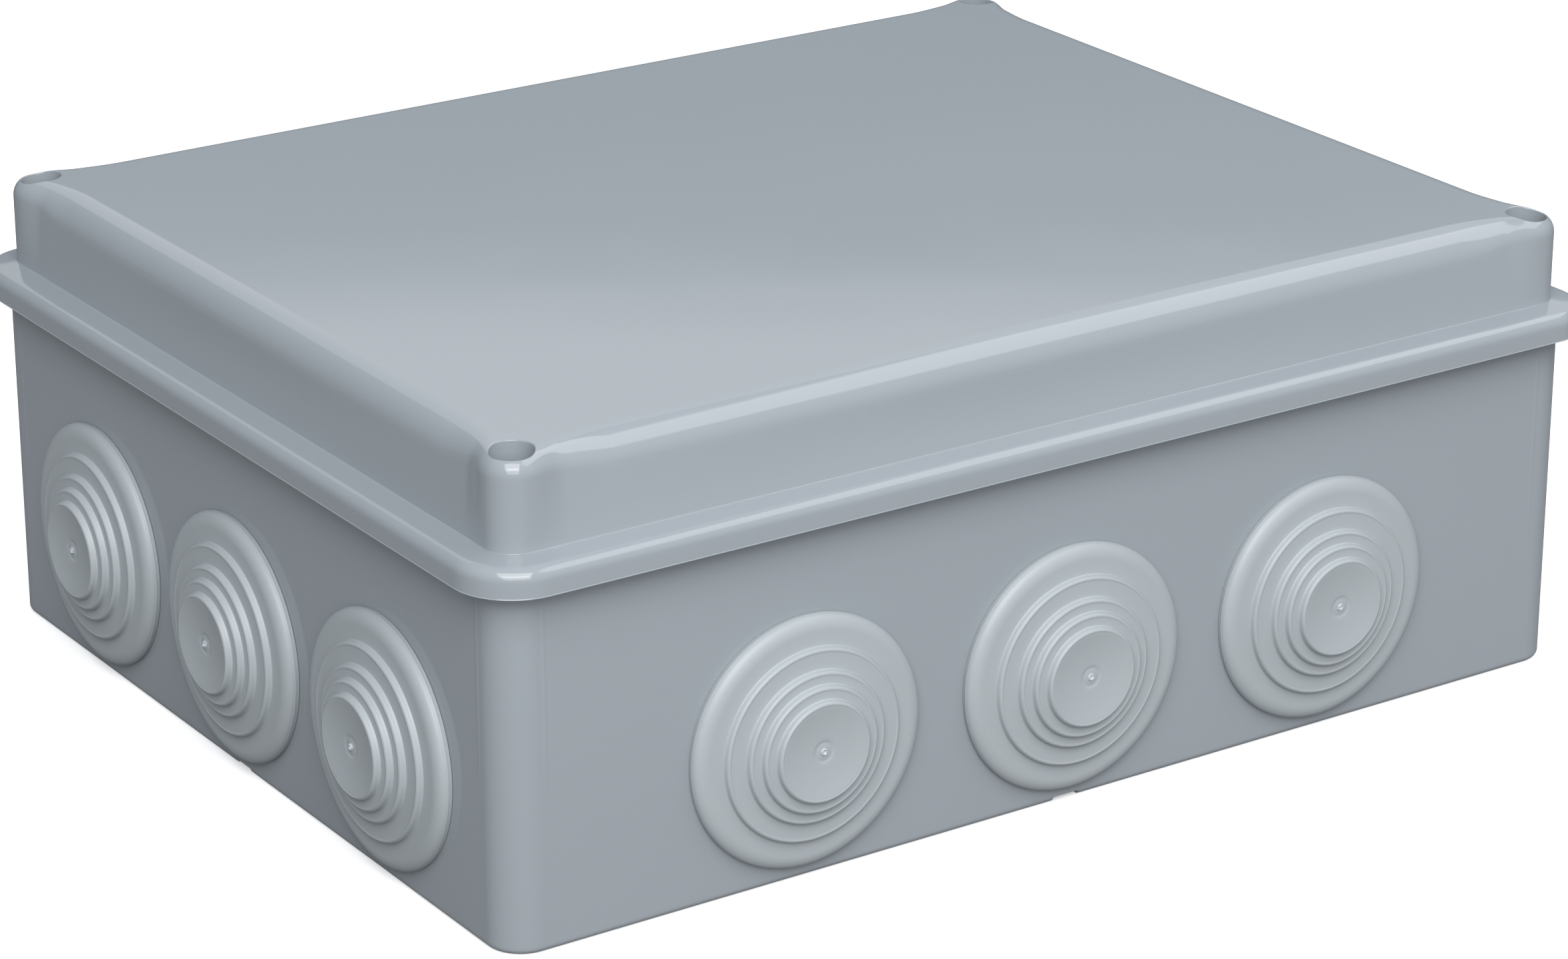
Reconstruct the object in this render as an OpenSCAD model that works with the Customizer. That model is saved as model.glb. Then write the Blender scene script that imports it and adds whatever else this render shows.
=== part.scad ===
// Surface junction box: a deep base, a lift-off lid on a seal, four lid screws in corner wells
// and three stepped cable grommets in each side wall. All sizes are in millimetres.
// The origin is the centre of the base's underside. +X runs along the length, +Y along the
// width towards the back wall, and +Z up through the lid.

/* [Base] */
// Length of the base, outside its walls
base_length = 231; // [200:1:400]
// Width of the base, outside its walls
base_width = 186; // [170:1:320]
// Height from the underside to the top of the lid
box_height = 88; // [74:1:180]
// Thickness of the side walls
base_wall = 2.3; // [1.8:0.1:3]
// Thickness of the floor
floor_thickness = 2.6; // [1.8:0.1:5]
// Radius of the upright corners, which is also how far in the lid screws stand
corner_radius = 6.8; // [6.2:0.1:9]
// Rounding of the edge between the walls and the underside
foot_edge = 1.2; // [0.4:0.1:2]
// Width of the rim that the base stands on, around a shallow recess
foot_rim = 6; // [4:0.5:12]
// Depth of the recess under the floor
foot_recess = 1; // [0.5:0.1:2]
// Width of the drain notch in the middle of each side of the foot rim
notch_width = 5.6; // [3:0.1:12]

/* [Rim and seal] */
// How far the rim collar stands out from the wall
rim_out = 2; // [1.2:0.1:4]
// Height of the rim collar
rim_height = 1.6; // [1:0.1:4]
// Width of the lid gasket
gasket_width = 3.4; // [2:0.1:3.8]
// Thickness of the lid gasket when it is pressed
gasket_thickness = 1.5; // [0.8:0.1:2.5]
// Clearance between the lid and the base, on each side
lid_gap = 0.3; // [0.1:0.05:0.6]

/* [Lid] */
// Height of the lid, from the skirt's lower edge to the top
lid_height = 22; // [18:0.5:40]
// Height of the skirt's step below the lid walls
skirt_height = 5.5; // [5:0.1:8]
// Thickness of the skirt
skirt_wall = 2.2; // [1.6:0.1:4]
// Rounding of the skirt's upper edge
skirt_edge = 1.8; // [0.5:0.1:2.2]
// Thickness of the ledge between the skirt and the lid walls
ledge_thickness = 1.6; // [1:0.1:2.5]
// How far in the lid walls stand from the base walls, at their foot
lid_inset = 1.6; // [0.8:0.1:3]
// How much further in the lid walls lean at the top
lid_draft = 1.2; // [0:0.1:2]
// Thickness of the lid's walls and top
lid_wall = 2.2; // [1.6:0.1:3]
// Rounding of the lid's upper edge
lid_edge = 6; // [3:0.5:8]
// Thickness of the lip that locates the lid inside the base
lip_thickness = 1.1; // [0.8:0.1:2]
// Rounding of the upper edge of the corner posts
post_edge = 3.6; // [1:0.1:4]
// How far the corner posts stand proud of the wall's foot
post_proud = 0.1; // [0.1:0.1:0.6]

/* [Lid screws] */
// Diameter of the screw thread
screw_diameter = 4; // [3:0.1:4.4]
// Lead of the thread, which is the rise for one turn
screw_pitch = 1.75; // [1:0.05:2.5]
// Turns that the thread is engaged by
screw_turns = 8; // [4:1:8]
// Diameter of the screw head
head_diameter = 6.8; // [6:0.1:7.4]
// Height of the screw head
head_height = 2.6; // [1.8:0.1:3.5]
// Thickness of the seal washer under the head
seal_thickness = 0.8; // [0.5:0.1:1.5]
// Clearance around the head in its well
well_gap = 0.35; // [0.2:0.05:0.6]

/* [Cable entries] */
// Outer radius of a grommet's flange
grommet_radius = 23.2; // [16:0.1:28]
// Thickness of the flange on the outside of the wall
flange_thickness = 2.6; // [1.5:0.1:4]
// How far the flange laps over the edge of its hole
flange_lap = 4.2; // [3:0.1:6]
// Height of each step of the grommet's nose
step_height = 1.15; // [0.6:0.05:1.6]
// Widths of the three stepped rings, from the outside in
ring_widths = [3.8, 2.3, 2.3];
// Thickness of the moulded skin
skin = 1.2; // [0.8:0.1:1.6]
// How far the snap lip laps over the wall on the inside
snap_lap = 1.5; // [0.8:0.1:2.5]
// Thickness of the snap lip
snap_thickness = 1.3; // [0.8:0.1:2]
// Height of the wall left under a grommet's flange
grommet_foot = 2.8; // [1.5:0.1:20]
// Share of the free length of a long wall that lies between the grommets
long_spread = 0.26; // [0.1:0.01:0.6]
// Share of the free length of a short wall that lies between the grommets
short_spread = 0.4; // [0.1:0.01:0.6]

/* [Floor] */
// Distance between the wall-fixing holes along the length
fixing_x = 184; // [60:1:184]
// Distance between the wall-fixing holes along the width
fixing_y = 136; // [60:1:136]
// Diameter of the wall-fixing holes
fixing_hole = 5.5; // [4:0.1:7]
// Outer diameter of the raised collar around each fixing hole
collar_diameter = 14; // [12:0.5:18]
// Height of the collar above the floor
collar_height = 4.5; // [2:0.5:8]
// Wall thickness of the collar and of the cap that covers it
cap_wall = 1.3; // [0.8:0.1:2]
// Distance between the mounting pillars along the length
pillar_x = 150; // [40:1:150]
// Distance between the mounting pillars along the width
pillar_y = 100; // [40:1:100]
// Diameter of a mounting pillar
pillar_diameter = 8; // [7:0.5:12]
// Height of a pillar above the floor
pillar_height = 9; // [4:0.5:20]
// Diameter of the pilot hole in a pillar
pilot_hole = 2.8; // [2:0.1:4]

/* [Hidden] */
$fn = 72;

shell_colour = [0.64, 0.68, 0.71];
grommet_colour = [0.70, 0.72, 0.73];
seal_colour = [0.16, 0.17, 0.18];
steel_colour = [0.78, 0.78, 0.76];

cut = 1;            // how far a cutting shape runs past the surface it opens
press_gap = 0.05;   // clearance of a piece that is pushed home by hand
run_gap = 0.08;     // radial clearance of a screw in its own hole
spigot_drop = 2.5;  // how far the bosses stand below the skirt's lower edge
spigot_gap = 0.1;   // clearance between a spigot and its boss, and around it inside the lip
lip_rise = 0.5;     // how far the lip ends above the bosses
boss_lap = 0.5;     // how far a screw boss sinks into the walls of its corner
bore_spare = 4;     // depth of a boss bore below the screw's tip
pad_lap = 2;        // how far the flush pad under a fixing hole reaches past its collar
head_edge = 1.2;    // rounding of a screw head
cross_depth = 1.6;  // depth of the cross recess
cross_width = 1;    // width of its arms
cross_share = 0.6;  // length of its arms, as a share of the head's radius
point_share = 0.8;  // length of the screw's point, as a share of the thread's radius
blunt_share = 0.6;  // narrowing of the point, as a share of its length
dish = 0.4;         // hollow of a grommet's middle
dish_edge = 1.2;    // flat edge around that hollow
gate_radius = 0.9;  // radius of the gate's stub in the middle
snap_edge = 0.5;    // thickness of the snap lip at its edge
cap_edge = 1;       // rounding of a fixing cap

// Heights, from the underside up
floor_top = foot_recess + floor_thickness;
skirt_z = box_height - lid_height;
ledge_top = skirt_z + skirt_height;
ledge_bottom = ledge_top - ledge_thickness;
rim_z = ledge_bottom - gasket_thickness;
boss_top = skirt_z - spigot_drop;
lip_z = boss_top + lip_rise;
entry_z = grommet_foot + grommet_radius;

// Offsets from the base's outer faces, positive outwards
skirt_inside = rim_out + lid_gap;
skirt_outside = skirt_inside + skirt_wall;
lip_outside = -(base_wall + lid_gap);
lip_inside = lip_outside - lip_thickness;
lid_foot = -lid_inset;
lid_shoulder = lid_foot - lid_draft;
gasket_middle = (rim_out - base_wall) / 2;

// Lid screws, their wells in the lid and their bosses in the base
screw_x = base_length / 2 - corner_radius;
screw_y = base_width / 2 - corner_radius;
CORNERS = [[-1, -1], [1, -1], [1, 1], [-1, 1]];
screw_radius = screw_diameter / 2;
head_radius = head_diameter / 2;
engaged = screw_turns * screw_pitch;
head_z = ledge_bottom + seal_thickness;
post_radius = corner_radius - lid_inset + post_proud;
spigot_radius = corner_radius - base_wall - lid_gap - spigot_gap;
spigot_z = boss_top + spigot_gap;
boss_radius = corner_radius - base_wall + boss_lap;

// Grommets
SIDES = ["front", "right", "back", "left"];
PER_SIDE = 3;
hole_radius = grommet_radius - flange_lap;
neck_radius = hole_radius - press_gap;
nose_radius = neck_radius - skin;
function ring_edge(i) = i == 0 ? nose_radius : ring_edge(i - 1) - ring_widths[i - 1];
function step_top(i) = flange_thickness + (i + 1) * step_height;
function entry_pitch(length, spread) = 2 * grommet_radius
    + (length - 2 * corner_radius - 2 * PER_SIDE * grommet_radius) * spread / (PER_SIDE - 1);

// Points of a quarter round of radius r about [u, v], from angle a0 to a1
function arc(u, v, r, a0, a1, steps = 6) =
    [for (i = [0 : steps]) let (a = a0 + (a1 - a0) * i / steps) [u + r * cos(a), v + r * sin(a)]];

// A profile of [offset from an outer face, height] points, seen across a block of this half size
function reach(profile, half) = [for (p = profile) [half + p[0], p[1]]];
function across(profile, half) = concat(reach(profile, half),
    [for (i = [len(profile) - 1 : -1 : 0]) [-half - profile[i][0], profile[i][1]]]);

// A filled block in the base's plan shape, whose sides follow the profile from the bottom up
module plan_block(profile) {
    inner_x = base_length / 2 - corner_radius;
    inner_y = base_width / 2 - corner_radius;
    bottom = profile[0][1];
    top = profile[len(profile) - 1][1];
    union() {
        rotate([90, 0, 0])
            linear_extrude(height = 2 * inner_y, center = true)
                polygon(across(profile, base_length / 2));
        for (end = [0, 180])
            rotate([0, 0, end])
                rotate([90, 0, 90])
                    linear_extrude(height = 2 * inner_x, center = true)
                        polygon(concat([[inner_y, bottom]], reach(profile, base_width / 2), [[inner_y, top]]));
        for (c = CORNERS)
            translate([c[0] * inner_x, c[1] * inner_y, 0])
                rotate([0, 0, c[0] > 0 ? (c[1] > 0 ? 0 : -90) : (c[1] > 0 ? 90 : 180)])
                    rotate_extrude(angle = 90)
                        polygon(concat([[0, bottom]], reach(profile, corner_radius), [[0, top]]));
    }
}

// A plain block in the base's plan shape between two heights
module plan_slab(offset, z0, z1) {
    plan_block([[offset, z0], [offset, z1]]);
}

module at_screws() {
    for (c = CORNERS)
        translate([c[0] * screw_x, c[1] * screw_y, 0]) children();
}

module at_grid(dx, dy) {
    for (c = CORNERS)
        translate([c[0] * dx / 2, c[1] * dy / 2, floor_top]) children();
}

// Places its children at entry i of a side, with +Z pointing out of the wall
module at_entry(side, i) {
    long = side % 2 == 0;
    pitch = entry_pitch(long ? base_length : base_width, long ? long_spread : short_spread);
    rotate([0, 0, side * 90])
        translate([(i - (PER_SIDE - 1) / 2) * pitch, -(long ? base_width : base_length) / 2, entry_z])
            rotate([90, 0, 0])
                children();
}

module tube(outer, inner, height) {
    difference() {
        cylinder(r = outer, h = height);
        translate([0, 0, -cut]) cylinder(r = inner, h = height + 2 * cut);
    }
}

module base() {
    color(shell_colour)
    difference() {
        union() {
            difference() {
                union() {
                    plan_block(concat(arc(-foot_edge, foot_edge, foot_edge, -90, 0, 4), [[0, rim_z]]));
                    plan_slab(rim_out, rim_z - rim_height, rim_z);
                }
                plan_slab(-base_wall, floor_top, rim_z + cut);
            }
            at_screws()
                translate([0, 0, floor_top - cut]) cylinder(r = boss_radius, h = boss_top - floor_top + cut);
            at_grid(fixing_x, fixing_y)
                translate([0, 0, -cut]) cylinder(d = collar_diameter, h = collar_height + cut);
            at_grid(pillar_x, pillar_y)
                translate([0, 0, -cut]) cylinder(d = pillar_diameter, h = pillar_height + cut);
        }
        // The shallow recess under the floor leaves flush pads at the fixing holes
        difference() {
            plan_slab(-foot_rim, -cut, foot_recess);
            at_grid(fixing_x, fixing_y)
                translate([0, 0, -floor_top - 2 * cut]) cylinder(r = collar_diameter / 2 + pad_lap, h = floor_top + 2 * cut);
        }
        for (turn = [0, 90])
            rotate([0, 0, turn])
                translate([-notch_width / 2, -base_length, -cut])
                    cube([notch_width, 2 * base_length, foot_recess + cut]);
        at_screws()
            translate([0, 0, boss_top - engaged - bore_spare])
                cylinder(r = screw_radius + run_gap, h = engaged + bore_spare + cut);
        at_grid(fixing_x, fixing_y) {
            translate([0, 0, -floor_top - cut]) cylinder(d = fixing_hole, h = floor_top + 2 * cut);
            cylinder(d = collar_diameter - 2 * cap_wall, h = collar_height + cut);
        }
        at_grid(pillar_x, pillar_y)
            cylinder(d = pilot_hole, h = pillar_height + cut);
        for (side = [0 : len(SIDES) - 1], i = [0 : PER_SIDE - 1])
            at_entry(side, i)
                translate([0, 0, -base_wall - cut]) cylinder(r = hole_radius, h = base_wall + 2 * cut);
    }
}

// The lid's leaning walls and rounded top, moved in by a wall thickness for the hollow
module lid_crown(inward, z0, z1) {
    edge = lid_edge - inward;
    profile = concat([[lid_foot - inward, z0]],
        arc(lid_shoulder - inward - edge, z1 - edge, edge, 0, 90));
    intersection() {
        rotate([90, 0, 0])
            linear_extrude(height = base_width, center = true) polygon(across(profile, base_length / 2));
        rotate([90, 0, 90])
            linear_extrude(height = base_length, center = true) polygon(across(profile, base_width / 2));
    }
}

// The square outside each screw's axis, where a corner post takes the place of the crown
module corner_squares() {
    for (c = CORNERS)
        translate([c[0] * (screw_x + corner_radius / 2), c[1] * (screw_y + corner_radius / 2), box_height])
            cube([corner_radius, corner_radius, 2 * (box_height - ledge_top)], center = true);
}

module lid() {
    color(shell_colour)
    difference() {
        union() {
            difference() {
                union() {
                    plan_block(concat([[skirt_outside, skirt_z]],
                        arc(skirt_outside - skirt_edge, ledge_top - skirt_edge, skirt_edge, 0, 90, 5)));
                    difference() {
                        lid_crown(0, ledge_top - cut, box_height);
                        corner_squares();
                    }
                    plan_slab(lip_outside, lip_z, ledge_top - cut);
                }
                difference() {
                    plan_slab(skirt_inside, skirt_z - cut, ledge_bottom);
                    plan_slab(lip_outside, skirt_z - 2 * cut, ledge_bottom + cut);
                }
                plan_slab(lip_inside, lip_z - cut, ledge_bottom);
                lid_crown(lid_wall, ledge_bottom - cut / 2, box_height - lid_wall);
            }
            at_screws() {
                rotate_extrude()
                    polygon(concat([[0, ledge_bottom], [post_radius, ledge_bottom]],
                        arc(post_radius - post_edge, box_height - post_edge, post_edge, 0, 90),
                        [[0, box_height]]));
                translate([0, 0, spigot_z]) cylinder(r = spigot_radius, h = ledge_top - spigot_z);
            }
        }
        at_screws() {
            translate([0, 0, ledge_bottom]) cylinder(r = head_radius + well_gap, h = box_height);
            translate([0, 0, spigot_z - cut]) cylinder(r = screw_radius + well_gap, h = ledge_top - spigot_z);
        }
    }
}

module lid_gasket() {
    color(seal_colour)
    difference() {
        plan_slab(gasket_middle + gasket_width / 2, rim_z, ledge_bottom);
        plan_slab(gasket_middle - gasket_width / 2, rim_z - cut, ledge_bottom + cut);
    }
}

// A pan-head screw with a cross recess and a pointed tip
module lid_screw(i) {
    tip_z = boss_top - engaged;
    point = screw_radius * point_share;
    color(steel_colour)
    translate([CORNERS[i][0] * screw_x, CORNERS[i][1] * screw_y, 0])
        difference() {
            rotate_extrude()
                polygon(concat([[0, tip_z], [screw_radius - point * blunt_share, tip_z], [screw_radius, tip_z + point],
                    [screw_radius, head_z], [head_radius, head_z]],
                    arc(head_radius - head_edge, head_z + head_height - head_edge, head_edge, 0, 90, 4),
                    [[0, head_z + head_height]]));
            for (turn = [0, 90])
                rotate([0, 0, turn])
                    translate([-head_radius * cross_share, -cross_width / 2, head_z + head_height - cross_depth])
                        cube([2 * head_radius * cross_share, cross_width, cross_depth + cut]);
        }
}

module screw_seal(i) {
    color(seal_colour)
    translate([CORNERS[i][0] * screw_x, CORNERS[i][1] * screw_y, ledge_bottom])
        tube(head_radius + well_gap / 2, screw_radius + run_gap, seal_thickness);
}

// A blind grommet: flange and stepped nose outside the wall, snap lip inside it
module grommet(side, i) {
    last = len(ring_widths);
    nose_top = step_top(last);
    neck_bore = neck_radius - 2 * skin;
    outside = concat(
        [[neck_radius, 0]],
        arc(grommet_radius - flange_thickness / 2, flange_thickness / 2, flange_thickness / 2, -90, 90, 8),
        [for (n = [0 : last], end = [0, 1]) [ring_edge(n), end == 0 ? step_top(n) - step_height : step_top(n)]],
        [[ring_edge(last) - dish_edge, nose_top], [ring_edge(last) / 2, nose_top - dish], [0, nose_top - dish]]);
    inside = concat(
        [[0, nose_top - dish - skin], [ring_edge(last) - skin, nose_top - dish - skin]],
        [for (n = [last - 1 : -1 : 0], end = [0, 1])
            [ring_edge(n + (end == 0 ? 1 : 0)) - skin, step_top(n) - dish - skin]],
        [[neck_bore, flange_thickness - skin], [neck_bore, -base_wall - snap_thickness]]);
    lip = [[neck_radius, -base_wall - snap_thickness], [hole_radius + snap_lap, -base_wall - snap_edge],
        [hole_radius + snap_lap, -base_wall], [neck_radius, -base_wall]];
    color(grommet_colour)
    at_entry(side, i)
        union() {
            rotate_extrude() polygon(concat(outside, inside, lip));
            translate([0, 0, nose_top - dish - skin / 2]) cylinder(r = gate_radius, h = skin / 2 + dish, $fn = 24);
        }
}

module fixing_cap(i) {
    rise = collar_height + press_gap;
    outer = collar_diameter / 2 + press_gap + cap_wall;
    color(grommet_colour)
    translate([CORNERS[i][0] * fixing_x / 2, CORNERS[i][1] * fixing_y / 2, floor_top + press_gap])
        difference() {
            rotate_extrude()
                polygon(concat([[0, 0], [outer, 0]], arc(outer - cap_edge, rise + cap_wall - cap_edge, cap_edge, 0, 90, 4),
                    [[0, rise + cap_wall]]));
            translate([0, 0, -cut]) cylinder(d = collar_diameter + 2 * press_gap, h = rise + cut);
        }
}

base();
lid();
lid_gasket();
for (i = [0 : 3]) {
    lid_screw(i);
    screw_seal(i);
    fixing_cap(i);
}
for (side = [0 : len(SIDES) - 1], i = [0 : PER_SIDE - 1])
    grommet(side, i);
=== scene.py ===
"""Surface junction box: finely modelled pieces, finishes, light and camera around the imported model.

Every length in the piece classes is in millimetres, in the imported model's own frame. The meshes
are turned into metres when they become Blender objects.
"""

import logging
import math
from dataclasses import dataclass
from enum import Enum
from typing import Any, Callable, Iterable, Sequence

import bpy
import numpy as np
from mathutils import Matrix, Vector
from mathutils.bvhtree import BVHTree

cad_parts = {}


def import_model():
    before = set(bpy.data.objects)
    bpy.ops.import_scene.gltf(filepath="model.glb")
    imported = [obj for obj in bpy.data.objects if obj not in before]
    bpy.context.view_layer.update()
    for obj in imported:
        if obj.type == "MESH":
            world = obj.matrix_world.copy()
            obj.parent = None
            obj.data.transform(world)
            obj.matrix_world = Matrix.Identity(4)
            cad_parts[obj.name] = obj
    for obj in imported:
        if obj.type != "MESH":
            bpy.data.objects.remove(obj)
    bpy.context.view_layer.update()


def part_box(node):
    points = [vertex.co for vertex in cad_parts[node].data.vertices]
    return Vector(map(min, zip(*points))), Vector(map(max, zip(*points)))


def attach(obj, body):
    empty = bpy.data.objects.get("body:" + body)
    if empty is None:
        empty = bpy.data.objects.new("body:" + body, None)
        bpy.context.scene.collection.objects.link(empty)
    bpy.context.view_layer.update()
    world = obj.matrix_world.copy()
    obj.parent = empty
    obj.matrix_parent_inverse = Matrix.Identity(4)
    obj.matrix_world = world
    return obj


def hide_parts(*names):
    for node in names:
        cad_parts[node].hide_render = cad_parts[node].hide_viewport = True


LOG = logging.getLogger("junction_box")
MM = 0.001
CORNERS = ((-1, -1), (1, -1), (1, 1), (-1, 1))
ON_AXIS = 1e-6
Pair = tuple[float, float]
Triple = tuple[float, float, float]
Points = Sequence[Pair]
Relief = Callable[[np.ndarray, np.ndarray, np.ndarray], np.ndarray]


class Slot(Enum):
    """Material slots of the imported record."""

    SHELL = "shell"
    GROMMET = "grommet"
    SEAL = "seal"
    SCREW = "screw"
    CAP = "cap"


class Side(Enum):
    """Side walls of the base, with the quarter turns that bring the front wall to each."""

    FRONT = 0
    RIGHT = 1
    BACK = 2
    LEFT = 3


# --- Mesh tools ---


def ease(value: np.ndarray) -> np.ndarray:
    """Returns a smooth step from 0 to 1 for values running from 0 to 1."""
    t = np.clip(value, 0.0, 1.0)
    return t * t * (3 - 2 * t)


def arc(u: float, v: float, radius: float, start: float, end: float, steps: int = 6) -> list[Pair]:
    """Returns the points of an arc about a centre, from one angle to another in degrees."""
    angles = np.radians(np.linspace(start, end, steps + 1))
    return [(u + radius * math.cos(a), v + radius * math.sin(a)) for a in angles]


def between(a: Pair, b: Pair, steps: int) -> list[Pair]:
    """Returns the points strictly between two profile points, evenly spaced."""
    run, rise = b[0] - a[0], b[1] - a[1]
    return [(a[0] + run * k / steps, a[1] + rise * k / steps) for k in range(1, steps)]


def round_ring(radius: Any, height: Any, angles: np.ndarray, axis: Pair = (0.0, 0.0)) -> np.ndarray:
    """Returns points around an upright axis, with one radius and height or one for each angle."""
    flat = [axis[0] + radius * np.cos(angles), axis[1] + radius * np.sin(angles)]
    return np.column_stack([*flat, np.broadcast_to(height, angles.shape)])


@dataclass
class Solid:
    """A closed mesh in millimetres, before it becomes a Blender object."""

    points: np.ndarray
    faces: list[tuple[int, ...]]

    def placed(self, turn: float = 0.0, shift: Sequence[float] = (0, 0, 0), tilt: float = 0.0) -> "Solid":
        """Returns a copy tilted about X, then turned about the upright axis, both in degrees, then moved."""
        spin = Matrix.Rotation(math.radians(turn), 3, "Z") @ Matrix.Rotation(math.radians(tilt), 3, "X")
        return Solid(self.points @ np.array(spin).T + np.array(shift, float), self.faces)

    @staticmethod
    def together(parts: Iterable["Solid"]) -> "Solid":
        """Returns one mesh that holds all the parts."""
        points, faces, start = [], [], 0
        for part in parts:
            points.append(part.points)
            faces += [tuple(i + start for i in f) for f in part.faces]
            start += len(part.points)
        return Solid(np.vstack(points), faces)

    def at_each(self, places: Points) -> list["Solid"]:
        """Returns a copy of the solid at each place in the plan."""
        return [self.placed(shift=(x, y, 0)) for x, y in places]

    def mesh(self, name: str) -> bpy.types.Mesh:
        """Returns a Blender mesh of the solid, in metres."""
        made = bpy.data.meshes.new(name)
        made.from_pydata((self.points * MM).tolist(), [], self.faces)
        made.validate()
        return made

    def tree(self) -> BVHTree:
        """Returns a search tree of the solid's faces."""
        return BVHTree.FromPolygons([tuple(p) for p in self.points], self.faces)


def lofted(rings: np.ndarray, looped: bool = False) -> Solid:
    """Joins equal rings of points into a closed surface.

    The rings run counterclockwise from above. The last joins the first if the surface is looped, and
    otherwise both ends are capped.
    """
    count, around = rings.shape[:2]
    faces: list[tuple[int, ...]] = []
    for j in range(count if looped else count - 1):
        k = (j + 1) % count
        for i in range(around):
            n = (i + 1) % around
            faces.append((j * around + i, j * around + n, k * around + n, k * around + i))
    if not looped:
        faces.append(tuple(range(around - 1, -1, -1)))
        faces.append(tuple((count - 1) * around + i for i in range(around)))
    return Solid(rings.reshape(-1, 3), faces)


def turned(profile: Points, steps: int = 64, relief: Relief | None = None) -> Solid:
    """Turns a profile of radius and height about the upright axis, into a closed solid.

    The profile runs from the bottom round the outside to the top. An end with radius zero closes on
    the axis and any other end is capped. The relief gives a height to add, from the angle, the radius
    and the height.
    """
    angles = np.linspace(0, 2 * math.pi, steps, endpoint=False)
    inner = [p for p in profile if p[0] > ON_AXIS]
    grid = np.array([[(r * math.cos(a), r * math.sin(a), z) for a in angles] for r, z in inner])
    if relief is not None:
        radius = np.hypot(grid[..., 0], grid[..., 1])
        grid[..., 2] += relief(np.broadcast_to(angles, radius.shape), radius, grid[..., 2])
    solid = lofted(grid)
    top, bottom = solid.faces.pop(), solid.faces.pop()
    for end, face in ((profile[0], bottom), (profile[-1], top)):
        if end[0] > ON_AXIS:
            solid.faces.append(face)
            continue
        pole = len(solid.points)
        height = end[1]
        if relief is not None:
            height += float(relief(np.zeros(1), np.zeros(1), np.array([height]))[0])
        solid.points = np.vstack([solid.points, [0, 0, height]])
        solid.faces += [(face[i], face[(i + 1) % steps], pole) for i in range(steps)]
    return solid


def swept_bar(section: Points, length: float) -> Solid:
    """Returns a straight bar along Y with a counterclockwise section in X and Z."""
    ends = np.array([[(x, y, z) for x, z in section] for y in (length / 2, -length / 2)])
    return lofted(ends)


def combined(body: bpy.types.Mesh, other: Solid, operation: str) -> bpy.types.Mesh:
    """Returns a mesh joined with another solid by UNION, or cut by it with DIFFERENCE."""
    scene = bpy.context.scene
    pair = [bpy.data.objects.new("work", body), bpy.data.objects.new("tool", other.mesh("tool"))]
    for item in pair:
        scene.collection.objects.link(item)
    boolean = pair[0].modifiers.new("boolean", "BOOLEAN")
    boolean.operation, boolean.solver, boolean.object = operation, "MANIFOLD", pair[1]
    bpy.context.view_layer.update()
    solved = pair[0].evaluated_get(bpy.context.evaluated_depsgraph_get())
    result = bpy.data.meshes.new_from_object(solved)
    for item in pair:
        bpy.data.objects.remove(item)
    return result


def placed_piece(
    mesh: bpy.types.Mesh,
    name: str,
    node: str,
    body: str,
    finishes: Sequence[bpy.types.Material],
    crease: float = 32.0,
) -> bpy.types.Object:
    """Puts a finished mesh, in metres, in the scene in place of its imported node.

    The piece moves with the body. Its materials come in the order of the face indices, and an edge
    stays sharp where its faces meet at more than the crease angle, in degrees.
    """
    mesh.name = name
    mesh.shade_smooth()
    mesh.set_sharp_from_angle(angle=math.radians(crease))
    mesh.materials.clear()
    for finish in finishes:
        mesh.materials.append(finish)
    piece = bpy.data.objects.new(name, mesh)
    bpy.context.scene.collection.objects.link(piece)
    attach(piece, body)
    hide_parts(node)
    LOG.info("%s: %d faces, on body %s", name, len(mesh.polygons), body)
    return piece


@dataclass(frozen=True)
class Plan:
    """Rounded plan of the box at the outer faces of the base walls."""

    half_x: float
    half_y: float
    corner: float

    @property
    def screw_axes(self) -> list[Pair]:
        """Axes of the four lid screws, which are the centres of the corner rounds."""
        along, across = self.half_x - self.corner, self.half_y - self.corner
        return [(sx * along, sy * across) for sx, sy in CORNERS]

    def reach(self, side: Side) -> float:
        """Returns how far a side wall's outer face stands from the middle."""
        return self.half_y if side in (Side.FRONT, Side.BACK) else self.half_x

    @staticmethod
    def stations(length: float, fine: float, reach: float, coarse: float) -> np.ndarray:
        """Returns distances along a straight side, without its two ends.

        The spacing is fine within reach of an end and grows to coarse beyond it.
        """
        half, step = [fine], fine
        while half[-1] + step < length / 2 - step / 2:
            half.append(half[-1] + step)
            if half[-1] > reach:
                step = min(step * 1.3, coarse)
        half_run = np.array(half)
        return np.concatenate([half_run, [length / 2], length - half_run[::-1]])

    def walk(self, fine: float, reach: float, coarse: float, turns: int = 24) -> "Walk":
        """Samples the plan's outline once round, counterclockwise.

        The spacing is fine within reach of a corner and grows to coarse beyond it, and each corner
        round has as many chords as turns.
        """
        place, normal, away, share = [], [], [], []
        for k, (cx, cy) in enumerate(self.screw_axes):
            first = 180 + 90 * k
            for a in np.radians(np.linspace(first, first + 90, turns + 1)):
                normal.append((math.cos(a), math.sin(a)))
                place.append((cx + self.corner * math.cos(a), cy + self.corner * math.sin(a)))
                away.append(0.0)
                share.append(0.0)
            nx, ny = self.screw_axes[(k + 1) % 4]
            length = math.hypot(nx - cx, ny - cy)
            out = normal[-1]
            for run in self.stations(length, fine, reach, coarse):
                t = run / length
                x, y = cx + (nx - cx) * t, cy + (ny - cy) * t
                place.append((x + self.corner * out[0], y + self.corner * out[1]))
                normal.append(out)
                away.append(min(run, length - run))
                share.append(t)
        return Walk(np.array(place), np.array(normal), np.array(away), np.array(share))


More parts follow.
